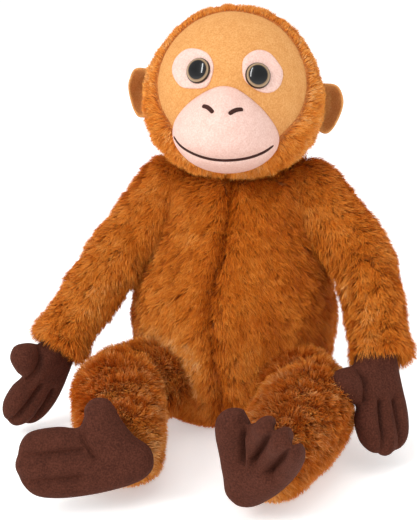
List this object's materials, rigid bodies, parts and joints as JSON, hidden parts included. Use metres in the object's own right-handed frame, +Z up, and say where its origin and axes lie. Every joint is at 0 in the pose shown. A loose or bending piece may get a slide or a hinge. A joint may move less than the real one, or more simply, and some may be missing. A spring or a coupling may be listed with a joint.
{
  "type": "stuffed toy",
  "caption": "Seated plush orangutan with long brown fur, velour face, hands and feet, plastic eyes, and a stuffed head and limbs that flex at their seams.",
  "frame": {"origin": "centre of the flat seat that the toy rests on", "axes": "+Z up, along the body to the head; the toy faces -Y; the toy's own left is at +X"},
  "size_m": [0.2897, 0.2863, 0.3021],
  "materials": {
    "fur": "long-pile plush, brushed in locks",
    "face_velour": "short-pile velour",
    "pink_velour": "short-pile velour",
    "brown_velour": "short-pile velour",
    "stuffing": "loose polyester fibre",
    "pellets": "woven bag of plastic pellets",
    "eye_plastic": "polished",
    "washer_plastic": "as moulded",
    "thread": "satin stitch"
  },
  "bodies": {
    "torso": {"pellet_bag": "pellets", "seat_panel": "fur", "torso_back_left": "fur", "torso_back_right": "fur", "torso_front_left": "fur", "torso_front_right": "fur", "torso_stuffing": "stuffing"},
    "head": {"ear_left_back": "face_velour", "ear_left_front": "face_velour", "ear_right_back": "face_velour", "ear_right_front": "face_velour", "eye_left": "eye_plastic", "eye_patch_left": "pink_velour", "eye_patch_right": "pink_velour", "eye_right": "eye_plastic", "eye_washer_left": "washer_plastic", "eye_washer_right": "washer_plastic", "face_panel": "face_velour", "head_stuffing": "stuffing", "hood_left": "fur", "hood_right": "fur", "mouth_stitching": "thread", "muzzle_cover": "pink_velour", "muzzle_stuffing": "stuffing", "nostril_stitching_left": "thread", "nostril_stitching_right": "thread"},
    "arm_left": {"arm_left_inner": "fur", "arm_left_outer": "fur", "arm_left_stuffing": "stuffing"},
    "arm_right": {"arm_right_inner": "fur", "arm_right_outer": "fur", "arm_right_stuffing": "stuffing"},
    "hand_left": {"hand_left_back": "brown_velour", "hand_left_palm": "brown_velour", "hand_left_stuffing": "stuffing"},
    "hand_right": {"hand_right_back": "brown_velour", "hand_right_palm": "brown_velour", "hand_right_stuffing": "stuffing"},
    "leg_left": {"leg_left_lower": "fur", "leg_left_stuffing": "stuffing", "leg_left_upper": "fur"},
    "leg_right": {"leg_right_lower": "fur", "leg_right_stuffing": "stuffing", "leg_right_upper": "fur"},
    "foot_left": {"foot_left_sole": "brown_velour", "foot_left_stuffing": "stuffing", "foot_left_top": "brown_velour"},
    "foot_right": {"foot_right_sole": "brown_velour", "foot_right_stuffing": "stuffing", "foot_right_top": "brown_velour"}
  },
  "joints": [
    {"name": "head_turn", "type": "hinge", "parent": "torso", "child": "head", "pos_m": [-0.0028, -0.008, 0.2405], "axis": [0, 0, 1], "range_deg": [-30, 30], "stiffness_Nm_per_rad": 0.6},
    {"name": "shoulder_left", "type": "hinge", "parent": "torso", "child": "arm_left", "pos_m": [0.05, 0, 0.166], "axis": [-0.8189, -0.5739, 0], "range_deg": [0, 60], "stiffness_Nm_per_rad": 0.8},
    {"name": "shoulder_right", "type": "hinge", "parent": "torso", "child": "arm_right", "pos_m": [-0.05, 0, 0.166], "axis": [-0.8189, 0.5739, 0], "range_deg": [-5, 60], "stiffness_Nm_per_rad": 0.8},
    {"name": "wrist_left", "type": "hinge", "parent": "arm_left", "child": "hand_left", "pos_m": [0.11122, -0.07356, 0.0713], "axis": [-0.7414, -0.6678, 0.0656], "range_deg": [-6, 16], "stiffness_Nm_per_rad": 0.15},
    {"name": "wrist_right", "type": "hinge", "parent": "arm_right", "child": "hand_right", "pos_m": [-0.12233, -0.05983, 0.0644], "axis": [-0.5293, -0.6654, 0.5263], "range_deg": [-16, 16], "stiffness_Nm_per_rad": 0.15},
    {"name": "hip_left", "type": "hinge", "parent": "torso", "child": "leg_left", "pos_m": [0.042, -0.038, 0.036], "axis": [-1, 0, 0], "range_deg": [0, 22], "stiffness_Nm_per_rad": 1.2},
    {"name": "hip_right", "type": "hinge", "parent": "torso", "child": "leg_right", "pos_m": [-0.042, -0.038, 0.036], "axis": [-1, 0, 0], "range_deg": [0, 22], "stiffness_Nm_per_rad": 1.2},
    {"name": "ankle_left", "type": "hinge", "parent": "leg_left", "child": "foot_left", "pos_m": [0.04134, -0.1625, 0.02672], "axis": [-0.8075, 0.2359, 0.5407], "range_deg": [-20, 20], "stiffness_Nm_per_rad": 0.3},
    {"name": "ankle_right", "type": "hinge", "parent": "leg_right", "child": "foot_right", "pos_m": [-0.05764, -0.15812, 0.02706], "axis": [-0.024, 0.114, 0.9932], "range_deg": [-20, 20], "stiffness_Nm_per_rad": 0.3}
  ]
}
